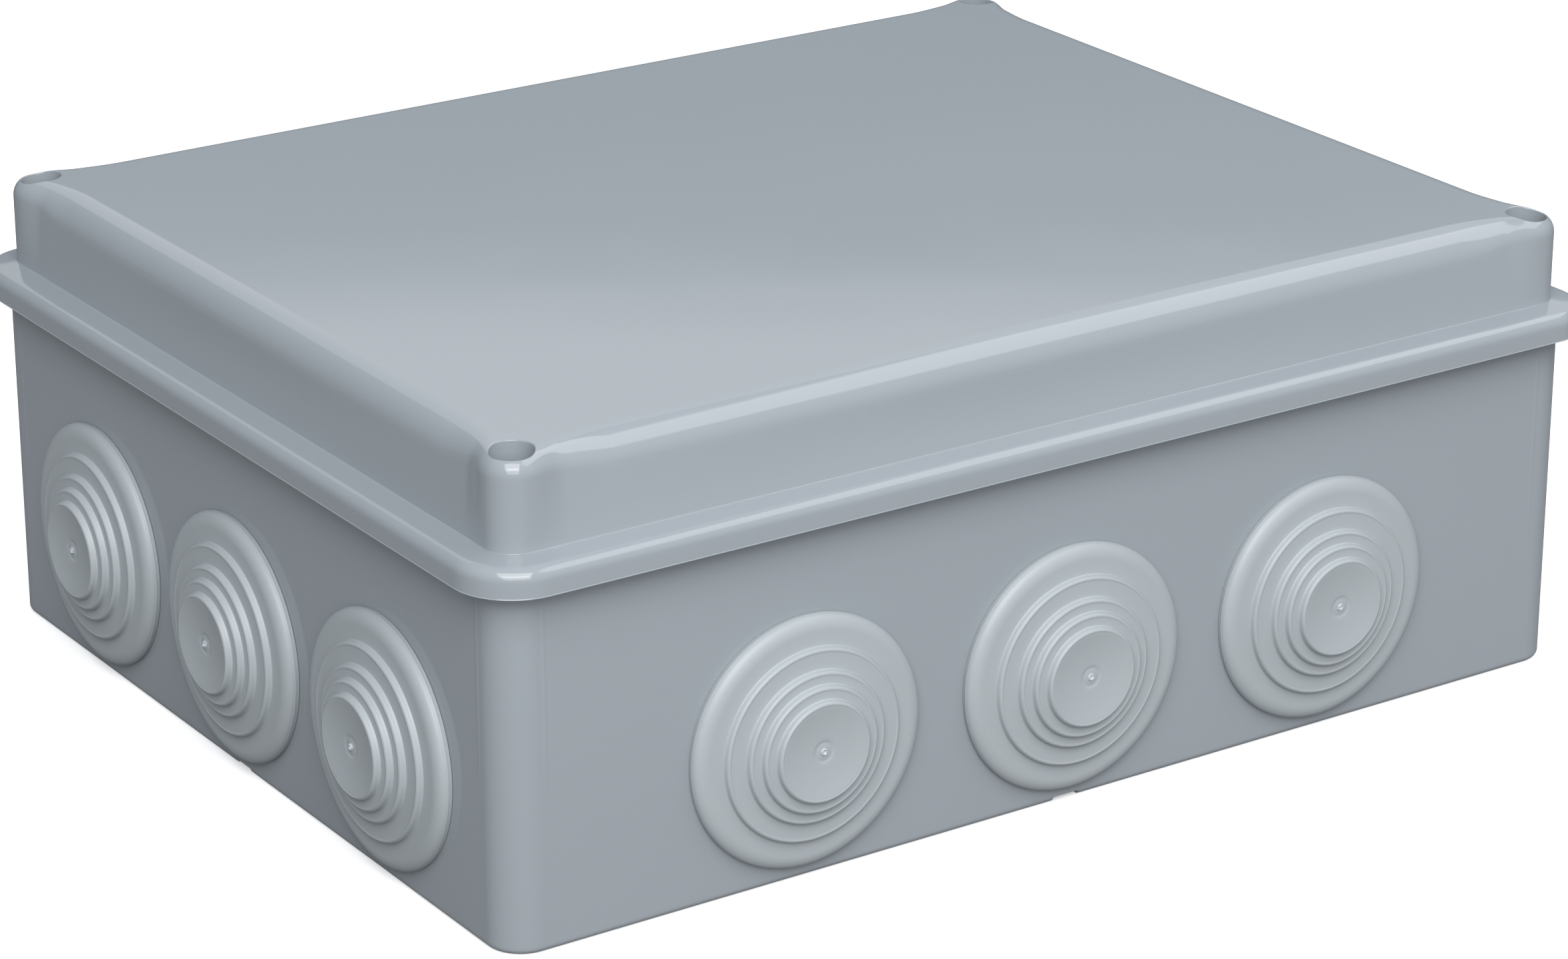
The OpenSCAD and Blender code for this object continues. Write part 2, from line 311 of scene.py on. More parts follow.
@dataclass(frozen=True)
class Walk:
    """Points of the plan's outline, with their normals and places along the straight sides.

    away is the distance from the nearer corner round, and share runs from 0 to 1 along a side.
    """

    place: np.ndarray
    normal: np.ndarray
    away: np.ndarray
    share: np.ndarray

    def ring(self, offset: float | np.ndarray, height: float | np.ndarray) -> np.ndarray:
        """Returns the outline moved out by an offset and set at a height."""
        flat = self.place + self.normal * np.broadcast_to(offset, self.away.shape)[:, None]
        return np.column_stack([flat, np.broadcast_to(height, self.away.shape)])

    def rings(self, profile: Points) -> list[np.ndarray]:
        """Returns a ring for each point of a profile of offsets and heights."""
        return [self.ring(offset, height) for offset, height in profile]


# --- Finishes ---


class Graph:
    """A node tree with short calls for adding nodes and joining them."""

    def __init__(self, tree: bpy.types.NodeTree) -> None:
        """Takes the tree to work on."""
        self.tree = tree

    def add(
        self, kind: str, inputs: dict[str | int, Any] | None = None, **settings: Any
    ) -> bpy.types.Node:
        """Adds a node with input values or joined sockets, and with its settings as attributes."""
        node = self.tree.nodes.new(kind)
        for key, value in settings.items():
            setattr(node, key, value)
        self.fill(node, inputs or {})
        return node

    def fill(self, node: bpy.types.Node, inputs: dict[str | int, Any]) -> None:
        """Sets a node's input values, or joins output sockets to them."""
        for key, value in inputs.items():
            if isinstance(value, bpy.types.NodeSocket):
                self.tree.links.new(value, node.inputs[key])
            else:
                node.inputs[key].default_value = value

    def sum(self, operation: str, a: Any, b: Any) -> bpy.types.NodeSocket:
        """Returns the output of a Math node with the two values."""
        return self.add("ShaderNodeMath", {0: a, 1: b}, operation=operation).outputs[0]

    def swing(self, value: Any, depth: Any) -> bpy.types.NodeSocket:
        """Returns a noise value turned about its middle and scaled by a depth."""
        return self.sum("MULTIPLY", self.sum("SUBTRACT", value, 0.5), depth)

    def scaled(self, colour: Any, level: Any) -> bpy.types.NodeSocket:
        """Returns a colour made lighter or darker."""
        inputs = {0: colour, 3: level}
        return self.add("ShaderNodeVectorMath", inputs, operation="SCALE").outputs[0]

    def band(
        self, value: Any, low: float, high: float, to_low: float = 0.0, to_high: float = 1.0
    ) -> bpy.types.NodeSocket:
        """Returns the value mapped smoothly from one range to another and held inside it."""
        inputs = {"Value": value, "From Min": low, "From Max": high, "To Min": to_low, "To Max": to_high}
        node = self.add("ShaderNodeMapRange", inputs, interpolation_type="SMOOTHSTEP")
        return node.outputs["Result"]

    def noise(self, where: Any, scale: Any, detail: float, rough: float) -> bpy.types.NodeSocket:
        """Returns the value of a noise texture at a place."""
        inputs = {"Vector": where, "Scale": scale, "Detail": detail, "Roughness": rough}
        return self.add("ShaderNodeTexNoise", inputs).outputs[0]

    def blend(self, share: Any, a: Any, b: Any) -> bpy.types.NodeSocket:
        """Returns the mix of two colours."""
        node = self.add("ShaderNodeMix", {0: share, 6: a, 7: b}, data_type="RGBA")
        return node.outputs[2]


@dataclass(frozen=True)
class BlankMaterial:
    """A new material with its graph, its surface shader and a socket for places on the object."""

    material: bpy.types.Material
    graph: Graph
    shader: bpy.types.Node
    place: bpy.types.NodeSocket

    @staticmethod
    def named(name: str) -> "BlankMaterial":
        """Makes the material under a name."""
        material = bpy.data.materials.new(name)
        material.use_nodes = True
        graph = Graph(material.node_tree)
        shader = material.node_tree.nodes["Principled BSDF"]
        return BlankMaterial(material, graph, shader, graph.add("ShaderNodeTexCoord").outputs["Object"])

    def link(self, socket: bpy.types.NodeSocket, label: str) -> None:
        """Joins an output to one of the surface shader's inputs."""
        self.material.node_tree.links.new(socket, self.shader.inputs[label])


@dataclass(frozen=True)
class MouldedSurface:
    """Shared effect of moulded plastic: a fine grain, cloudy colour and gloss, and rare specks."""

    name: str = "moulded_surface"
    grit: float = 0.035
    cells: float = 150.0
    speck_core: float = 0.012
    speck_edge: float = 0.024
    speck_cover: float = 0.6
    speck_rough: float = 0.2
    speck_rise: float = 2.0
    pale_over: float = 0.6
    dark: tuple[float, float, float, float] = (0.16, 0.17, 0.18, 1)
    pale: tuple[float, float, float, float] = (0.62, 0.66, 0.69, 1)

    def blank(self) -> bpy.types.NodeTree:
        """Returns a new node group with the sockets of the effect."""
        tree = bpy.data.node_groups.new(self.name, "ShaderNodeTree")
        numbers = ("Grain Scale", "Cloud Scale", "Cloud Depth", "Speck Share", "Gloss", "Gloss Change")
        sockets = [("Place", "INPUT", "Vector"), ("Base", "INPUT", "Color")]
        sockets += [(label, "INPUT", "Float") for label in numbers]
        sockets += [("Colour", "OUTPUT", "Color")]
        sockets += [(label, "OUTPUT", "Float") for label in ("Roughness", "Relief")]
        for label, way, kind in sockets:
            tree.interface.new_socket(label, in_out=way, socket_type="NodeSocket" + kind)
        return tree

    def group(self) -> bpy.types.NodeTree:
        """Returns the node group, which is built on the first call."""
        if self.name in bpy.data.node_groups:
            return bpy.data.node_groups[self.name]
        tree = self.blank()
        graph = Graph(tree)
        into = graph.add("NodeGroupInput").outputs
        out = graph.add("NodeGroupOutput").inputs
        place = into["Place"]
        grain = graph.noise(place, into["Grain Scale"], 3.0, 0.6)
        cloud = graph.noise(place, into["Cloud Scale"], 4.0, 0.55)
        tone = graph.sum("ADD", graph.swing(cloud, into["Cloud Depth"]), graph.swing(grain, self.grit))
        toned = graph.scaled(into["Base"], graph.sum("ADD", tone, 1.0))
        cells = graph.add("ShaderNodeTexVoronoi", {"Vector": place, "Scale": self.cells}, feature="F1")
        dot = graph.band(cells.outputs["Distance"], self.speck_core, self.speck_edge, 1.0, 0.0)
        pick = graph.add("ShaderNodeSeparateColor", {0: cells.outputs["Color"]}).outputs
        speck = graph.sum("MULTIPLY", dot, graph.sum("LESS_THAN", pick[0], into["Speck Share"]))
        tint = graph.blend(graph.sum("GREATER_THAN", pick[1], self.pale_over), self.dark, self.pale)
        cover = graph.sum("MULTIPLY", speck, self.speck_cover)
        gloss = graph.sum("ADD", graph.swing(cloud, into["Gloss Change"]), into["Gloss"])
        rough = graph.sum("ADD", gloss, graph.sum("MULTIPLY", speck, self.speck_rough))
        relief = graph.sum("ADD", grain, graph.sum("MULTIPLY", speck, self.speck_rise))
        tree.links.new(graph.blend(cover, toned, tint), out["Colour"])
        tree.links.new(rough, out["Roughness"])
        tree.links.new(relief, out["Relief"])
        return tree


@dataclass(frozen=True)
class MouldedFinish:
    """A moulded plastic or rubber finish with its grain, clouding and gloss."""

    name: str
    colour: Triple
    gloss: float
    gloss_change: float = 0.06
    grain_scale: float = 2600.0
    grain_depth: float = 0.006
    cloud_scale: float = 14.0
    cloud_depth: float = 0.05
    speck_share: float = 0.03
    wave_scale: float = 26.0
    wave_depth: float = 0.0

    def build(self) -> bpy.types.Material:
        """Makes the material."""
        blank = BlankMaterial.named(self.name)
        graph = blank.graph
        values = {
            "Place": blank.place,
            "Grain Scale": self.grain_scale,
            "Cloud Scale": self.cloud_scale,
            "Cloud Depth": self.cloud_depth,
            "Speck Share": self.speck_share,
            "Gloss": self.gloss,
            "Gloss Change": self.gloss_change,
            "Base": (*self.colour, 1),
        }
        group = graph.add("ShaderNodeGroup", node_tree=MouldedSurface().group())
        graph.fill(group, values)
        fine = {"Height": group.outputs["Relief"], "Strength": 0.35, "Distance": self.grain_depth * MM}
        bump = graph.add("ShaderNodeBump", fine).outputs[0]
        if self.wave_depth:
            wave = graph.noise(blank.place, self.wave_scale, 1.0, 0.4)
            slow = {"Height": wave, "Normal": bump, "Strength": 1.0, "Distance": self.wave_depth * MM}
            bump = graph.add("ShaderNodeBump", slow).outputs[0]
        blank.link(group.outputs["Colour"], "Base Color")
        blank.link(group.outputs["Roughness"], "Roughness")
        blank.link(bump, "Normal")
        return blank.material


@dataclass(frozen=True)
class ZincFinish:
    """Bright zinc plate on a steel screw, with turning marks and a faint yellow cast."""

    name: str = "zinc_plate"
    colour: Triple = (0.62, 0.61, 0.57)
    tarnish: Triple = (0.42, 0.39, 0.33)
    cloud_scale: float = 420.0
    gloss: float = 0.2
    gloss_change: float = 0.25
    mark_scale: Triple = (300, 300, 9000)
    mark_depth: float = 0.01

    def build(self) -> bpy.types.Material:
        """Makes the material."""
        blank = BlankMaterial.named(self.name)
        graph = blank.graph
        cloud = graph.noise(blank.place, self.cloud_scale, 4.0, 0.6)
        mapping = {"Vector": blank.place, "Scale": self.mark_scale}
        marks = graph.noise(graph.add("ShaderNodeMapping", mapping).outputs[0], 1.0, 3.0, 0.5)
        share = graph.band(cloud, 0.45, 0.75)
        rough = graph.sum("ADD", graph.sum("MULTIPLY", cloud, self.gloss_change), self.gloss)
        relief = {"Height": marks, "Strength": 0.25, "Distance": self.mark_depth * MM}
        blank.link(graph.blend(share, (*self.colour, 1), (*self.tarnish, 1)), "Base Color")
        blank.link(rough, "Roughness")
        blank.link(graph.add("ShaderNodeBump", relief).outputs[0], "Normal")
        blank.shader.inputs["Metallic"].default_value = 1.0
        return blank.material


@dataclass(frozen=True)
class FloorFinish:
    """Matt pale studio floor, which looks bright and gives the box only part of its light back."""

    name: str = "studio_floor"
    colour: Triple = (0.93, 0.93, 0.935)
    lift: float = 0.4
    bounce: float = 0.25
    cloud_scale: float = 3.0
    cloud_low: float = 0.985

    def build(self) -> bpy.types.Material:
        """Returns the new material."""
        blank = BlankMaterial.named(self.name)
        graph = blank.graph
        cloud = graph.noise(blank.place, self.cloud_scale, 3.0, 0.5)
        seen = graph.add("ShaderNodeLightPath").outputs["Is Camera Ray"]
        bounce = graph.sum("ADD", graph.sum("MULTIPLY", seen, 1 - self.bounce), self.bounce)
        level = graph.sum("MULTIPLY", graph.band(cloud, 0.2, 0.8, self.cloud_low, 1.0), bounce)
        blank.link(graph.scaled(self.colour, level), "Base Color")
        blank.link(seen, "Emission Color")
        blank.shader.inputs["Emission Strength"].default_value = self.lift
        blank.shader.inputs["Roughness"].default_value = 0.9
        blank.shader.inputs["Specular IOR Level"].default_value = 0.2
        return blank.material


@dataclass(frozen=True)
class Finishes:
    """All the finishes of the box, built once."""

    shell: bpy.types.Material
    grommet: bpy.types.Material
    gate_whitening_and_highlight: bpy.types.Material
    seal: bpy.types.Material
    zinc: bpy.types.Material
    cap: bpy.types.Material

    @staticmethod
    def build() -> "Finishes":
        """Builds every finish."""
        shell = MouldedFinish("shell_plastic", (0.315, 0.345, 0.372), 0.08, 0.03, wave_depth=0.05)
        grommet = MouldedFinish(
            "grommet_rubber", (0.394, 0.427, 0.446), 0.44, 0.08,
            grain_scale=2200.0, grain_depth=0.01, cloud_scale=60.0, speck_share=0.02,
        )
        # Paler gate colour: partly stress whitening of the torn rubber, partly a painted highlight on the
        # gate's stub.
        gate_whitening_and_highlight = MouldedFinish(
            "torn_gate", (0.5, 0.54, 0.57), 0.6, 0.1, grain_scale=3000.0, grain_depth=0.06
        )
        seal = MouldedFinish(
            "seal_foam", (0.028, 0.029, 0.031), 0.72, 0.1,
            grain_scale=1500.0, grain_depth=0.05, speck_share=0.0,
        )
        cap = MouldedFinish("cap_plastic", (0.36, 0.39, 0.41), 0.4, cloud_scale=50.0)
        return Finishes(
            shell=shell.build(),
            grommet=grommet.build(),
            gate_whitening_and_highlight=gate_whitening_and_highlight.build(),
            seal=seal.build(),
            zinc=ZincFinish().build(),
            cap=cap.build(),
        )


# --- Sub-assemblies ---


@dataclass
class Lid:
    """Lift-off lid: skirt, ledge, leaning walls with rounded shoulders and four screw posts."""

    plan: Plan
    top: float
    skirt_foot: float
    ledge: float = 71.5
    ledge_under: float = 69.9
    skirt_out: float = 4.5
    skirt_in: float = 2.3
    skirt_round: float = 2.3
    ledge_fall: float = 0.35
    wall_in: float = 1.6
    post_in: float = 1.5
    post_end: float = 0.4
    post_flare: float = 7.5
    lean: float = 1.2
    shoulder: float = 6.0
    post_shoulder: float = 3.6
    shoulder_run: float = 17.0
    wall: float = 2.2
    lip_foot: float = 64.0
    lip_out: float = -2.6
    lip_in: float = -3.7
    spigot_foot: float = 63.6
    spigot: float = 4.1
    post: float = 5.0
    well: float = 3.75
    shank_hole: float = 2.35
    rim_round: float = 0.3
    rim_bend: float = 60.0
    flash: float = 0.08
    crease: float = 0.15
    sink: float = 0.25

    def post_blend(self, walk: Walk) -> np.ndarray:
        """Returns how far each place has left the post for the plain wall, from 0 to 1."""
        return ease((walk.away - self.post_end) / self.post_flare)

    def skin_inset(self, walk: Walk) -> np.ndarray:
        """Returns how far inside the plan the foot of the outer skin stands."""
        return self.post_in + (self.wall_in - self.post_in) * self.post_blend(walk)

    def crown(self, walk: Walk, inward: float, foot: float, top: float) -> list[np.ndarray]:
        """Returns the rings of a wall and shoulder, from the foot up to the flat top.

        inward is how far the surface lies inside the outer skin.
        """
        blend = self.post_blend(walk)
        start = self.skin_inset(walk) + inward
        lean = self.lean * blend
        growth = ease(walk.away / self.shoulder_run)
        radius = self.post_shoulder + (self.shoulder - self.post_shoulder) * growth - inward
        tilt = np.arctan2(lean, top - radius - foot)
        hollow = 0 * lean if inward else self.sink * np.sin(math.pi * walk.share) ** 2 * blend
        drift = lean + radius * (1 - np.cos(tilt))
        wall_top = top - radius + radius * np.sin(tilt)
        rings = []
        for t in np.linspace(0, 1, 13)[:-1]:
            bow = hollow * math.sin(math.pi * t)
            rings.append(walk.ring(-(start + drift * t + bow), foot + (wall_top - foot) * t))
        for t in np.linspace(0, 1, 17):
            angle = tilt + (math.pi / 2 - tilt) * t
            inset = start + lean + radius - radius * np.cos(angle)
            rings.append(walk.ring(-inset, top - radius + radius * np.sin(angle)))
        rings.append(walk.ring(-(start + lean + radius + 0.35), top))
        return rings

    def underside(self) -> list[Pair]:
        """Returns the profile of the locating lip, the gasket's groove and the skirt's inner face."""
        groove, roof = self.ledge_under - 0.2, self.ledge_under
        out, foot = self.skirt_in, self.skirt_foot
        return [
            (self.lip_in, groove), (self.lip_in, self.lip_foot + 0.3), (self.lip_in + 0.15, self.lip_foot),
            (self.lip_out - 0.35, self.lip_foot), (self.lip_out, self.lip_foot + 0.8), (self.lip_out, groove),
            (self.lip_out + 0.2, roof), (out - 0.4, roof), (out, roof - 0.4), (out, foot + 0.3),
            (out + 0.3, foot),
        ]

    def outer_face(self) -> list[Pair]:
        """Returns the profile from the skirt's thin flash over its round edge to the ledge's crease."""
        out, foot, r = self.skirt_out, self.skirt_foot, self.skirt_round
        edge_top = self.ledge - self.ledge_fall
        slope = math.degrees(math.atan2(self.ledge_fall * 0.6, out + self.wall_in - r))
        crease = (-(self.wall_in - self.crease), self.ledge)
        face = [(out - 0.2, foot), (out + self.flash, foot + 0.02), (out + self.flash, foot + 0.08)]
        face += [(out, foot + 0.2), (out, foot + 0.45)]
        face += between(face[-1], (out, edge_top - r), 3)
        face += arc(out - r, edge_top - r, r, 0, 90 - slope, 12)
        return face + between(face[-1], crease, 5) + [crease]

    def shell(self) -> Solid:
        """Builds the hollow lid without posts and wells."""
        walk = self.plan.walk(0.42, self.shoulder_run, 6.0, 26)
        inside = self.crown(walk, self.wall, self.ledge_under, self.top - self.wall)
        rings = inside[::-1] + walk.rings(self.underside()) + walk.rings(self.outer_face())
        start = self.skin_inset(walk)
        for angle in np.radians((22, 45, 68)):
            inset = start - self.crease + self.crease * math.sin(angle)
            rings.append(walk.ring(-inset, self.ledge + self.crease * (1 - math.cos(angle))))
        return lofted(np.array(rings + self.crown(walk, 0.0, self.ledge + self.crease, self.top)))

    def post_body(self) -> Solid:
        """Returns one screw post and its spigot, which end inside the lid's skin."""
        foot, seat, top = self.spigot_foot, self.ledge_under + 0.1, self.top - 1.15
        profile = [(0, foot), (self.spigot - 0.4, foot), (self.spigot, foot + 0.4), (self.spigot, seat)]
        profile += [(self.post, seat), (self.post, self.top - 2.9), (self.post - 1.2, top), (0, top)]
        return turned(profile, 72)

    def well_cutter(self, skin: BVHTree, axis: Pair) -> Solid:
        """Returns the cutter of the screw well at an axis.

        Its rim is rounded where it meets the uncut lid's skin, which the search tree holds.
        """
        bend = math.radians(self.rim_bend)
        angles = np.linspace(0, 2 * math.pi, 120, endpoint=False)
        reach = self.well + self.rim_round * (1 - math.cos(bend))
        above = self.top + 10
        spots = round_ring(reach, above, angles, axis)
        skin_z = np.array([skin.ray_cast(Vector(spot), Vector((0, 0, -1)))[0].z for spot in spots])
        level = [(self.shank_hole, self.spigot_foot - 1), (self.shank_hole, self.ledge_under)]
        level += [(self.well, self.ledge_under), (self.well, self.top - 5)]
        for angle in np.linspace(0, bend, 5):
            drop = self.rim_round * (1 - math.sin(angle))
            level.append((self.well + self.rim_round * (1 - math.cos(angle)), skin_z - drop))
        level += [(reach + 0.87, skin_z + 0.45), (reach + 0.87, above)]
        return lofted(np.array([round_ring(r, z, angles, axis) for r, z in level]))

    def build(self, finishes: Finishes) -> None:
        """Builds the lid and places it."""
        shell = self.shell()
        skin = shell.tree()
        axes = self.plan.screw_axes
        wells = Solid.together(self.well_cutter(skin, axis) for axis in axes)
        mesh = combined(shell.mesh("lid"), Solid.together(self.post_body().at_each(axes)), "UNION")
        mesh = combined(mesh, wells, "DIFFERENCE")
        placed_piece(mesh, "lid_moulding", "lid", "lid", [finishes.shell], 26.0)


@dataclass
class Base:
    """Deep base: walls with entry holes, rim collar, screw bosses, fixing collars and pillars."""

    plan: Plan
    rim: float
    entries: list[tuple[Side, float, float]]
    fixings: list[Pair]
    hole: float = 19.0
    wall: float = 2.3
    floor: float = 3.6
    recess: float = 1.0
    foot_rim: float = 6.0
    foot_round: float = 1.2
    collar_out: float = 2.0
    collar_height: float = 1.6
    boss: float = 5.0
    boss_top: float = 63.5
    screw_bore: float = 2.08
    bore_foot: float = 45.5
    fixing_collar: float = 7.0
    fixing_rise: float = 4.5
    fixing_bore: float = 5.7
    fixing_hole: float = 2.75
    pillars: Pair = (75.0, 50.0)
    pillar: float = 4.0
    pillar_rise: float = 9.0
    pilot: float = 1.4
    notch: float = 5.6
    notch_round: float = 0.35
    floor_round: float = 1.6
    edge: float = 0.3
    seam_height: float = 0.07
    seam_width: float = 0.22
    seam_away: float = 1.2
    seam_low: float = 18.0
    seam_high: float = 64.0

    def seam(self, walk: Walk, height: float) -> np.ndarray:
        """Returns the small ridge that the mould leaves beside each corner, by place along the outline."""
        rise = ease(np.array((height - self.seam_low) / 30.0))
        fade = rise * (1 - ease(np.array((height - self.seam_high) / 2.0)))
        ridge = np.exp(-(((walk.away - self.seam_away) / self.seam_width) ** 2))
        return self.seam_height * ridge * (walk.away > 0) * fade

    def shell(self) -> Solid:
        """Builds the open shell without its holes."""
        walk = self.plan.walk(0.24, 2.6, 7.0, 20)
        rim, low, edge = self.rim, self.rim - self.collar_height, self.edge
        foot, out, skin, r = -self.foot_rim, self.collar_out, -self.wall, self.floor_round
        bottom = [(foot - 0.35, self.recess), (foot - 0.1, self.recess), (foot, self.recess - 0.1)]
        bottom += [(foot, 0.25), (foot + 0.25, 0.0), (-self.foot_round - 0.4, 0.0)]
        bottom += arc(-self.foot_round, self.foot_round, self.foot_round, -90, 0, 8)
        rings = walk.rings(bottom)
        for height in np.linspace(self.foot_round + 0.5, low - 0.3, 26):
            rings.append(walk.ring(self.seam(walk, height), height))
        top = [(0.09, low - 0.09), (0.3, low), (out - 0.25, low)]
        top += arc(out - 0.25, low + 0.25, 0.25, -90, 0, 3)[1:]
        top += arc(out - edge, rim - edge, edge, 0, 90, 4) + arc(skin + edge, rim - edge, edge, 90, 180, 4)
        top += [(skin, rim - 1.0), (skin, self.floor + r + 0.6)]
        top += arc(skin - r, self.floor + r, r, 0, -90, 7) + [(skin - r - 0.4, self.floor)]
        return lofted(np.array(rings + walk.rings(top)))

    def stud(self, radius: float, height: float, edge: float, fillet: float) -> Solid:
        """Returns a round stud on the floor, with a rounded top edge and a fillet at its foot."""
        under = self.floor - 1.2
        profile = [(0, under), (radius + fillet, under), (radius + fillet, self.floor - 0.02)]
        for u, v in arc(0, 0, fillet, 90, 0, 5)[1:]:
            profile.append((radius + fillet - u, self.floor + fillet - v))
        profile += arc(radius - edge, height - edge, edge, 0, 90, 4) + [(0, height)]
        return turned(profile, 64)

    def entry_cutter(self, side: Side, along: float, height: float) -> Solid:
        """Returns the cutting cylinder of one cable entry."""
        drill = turned([(self.hole, -self.wall - 1.5), (self.hole, 1.5)], 120)
        drill = drill.placed(tilt=90, shift=(along, -self.plan.reach(side), height))
        return drill.placed(turn=side.value * 90)

    def notch_cutter(self, side: Side) -> Solid:
        """Returns the cutting bar of the drain notch in one side of the foot rim."""
        half, r, deep = self.notch / 2, self.notch_round, self.recess
        section = [(-half - r - 0.5, -1.0), (half + r + 0.5, -1.0), (half + r, 0.0)]
        section += [(half + r - u, r - v) for u, v in arc(0, 0, r, 90, 0, 4)][1:]
        section += arc(half - r, deep - r, r, 0, 90, 4) + arc(-half + r, deep - r, r, 90, 180, 4)
        section += [(-half - r + u, r - v) for u, v in arc(0, 0, r, 0, 90, 4)] + [(-half - r - 0.2, -0.2)]
        across = -self.plan.reach(side) + self.foot_rim / 2 - 0.6
        return swept_bar(section, self.foot_rim + 3).placed(shift=(0, across, 0)).placed(turn=side.value * 90)

    def added(self, pillars: Points) -> list[Solid]:
        """Returns the bosses, collars, pillars and the flush pads under the collars."""
        collar_top, pillar_top = self.floor + self.fixing_rise, self.floor + self.pillar_rise
        pad = self.fixing_collar + 2.0
        parts = self.stud(self.boss, self.boss_top, 0.35, 1.0).at_each(self.plan.screw_axes)
        parts += self.stud(self.fixing_collar, collar_top, 0.3, 0.03).at_each(self.fixings)
        parts += self.stud(self.pillar, pillar_top, 0.4, 1.0).at_each(pillars)
        profile = [(0, 0.0), (pad - 0.2, 0.0), (pad, 0.2), (pad, 1.8), (0, 1.8)]
        return parts + turned(profile, 64).at_each(self.fixings)

    def cut(self, pillars: Points) -> list[Solid]:
        """Returns the cutters of the bores, the cable entries and the drain notches."""
        bore, hole, pilot, wide = self.screw_bore, self.fixing_hole, self.pilot, self.fixing_bore
        boss_top, floor = self.boss_top, self.floor
        collar_top, pillar_top = floor + self.fixing_rise, floor + self.pillar_rise
        screw_bore = [(bore, self.bore_foot), (bore, boss_top - 0.5)]
        screw_bore += [(bore + 0.6, boss_top + 0.1), (bore + 0.6, boss_top + 2)]
        fixing = [(hole + 0.3, -1), (hole + 0.3, 0.0), (hole, 0.3), (hole, floor), (wide, floor)]
        fixing += [(wide, collar_top + 1)]
        blind = [(pilot, floor), (pilot, pillar_top - 0.4)]
        blind += [(pilot + 0.5, pillar_top + 0.1), (pilot + 0.5, pillar_top + 1)]
        parts = turned(screw_bore, 40).at_each(self.plan.screw_axes)
        parts += turned(fixing, 48).at_each(self.fixings) + turned(blind, 32).at_each(pillars)
        parts += [self.entry_cutter(*entry) for entry in self.entries]
        return parts + [self.notch_cutter(side) for side in Side]

    def build(self, finishes: Finishes) -> None:
        """Builds the base and places it."""
        pillars = [(sx * self.pillars[0], sy * self.pillars[1]) for sx, sy in CORNERS]
        mesh = combined(self.shell().mesh("base"), Solid.together(self.added(pillars)), "UNION")
        mesh = combined(mesh, Solid.together(self.cut(pillars)), "DIFFERENCE")
        placed_piece(mesh, "base_moulding", "base", "base", [finishes.shell])


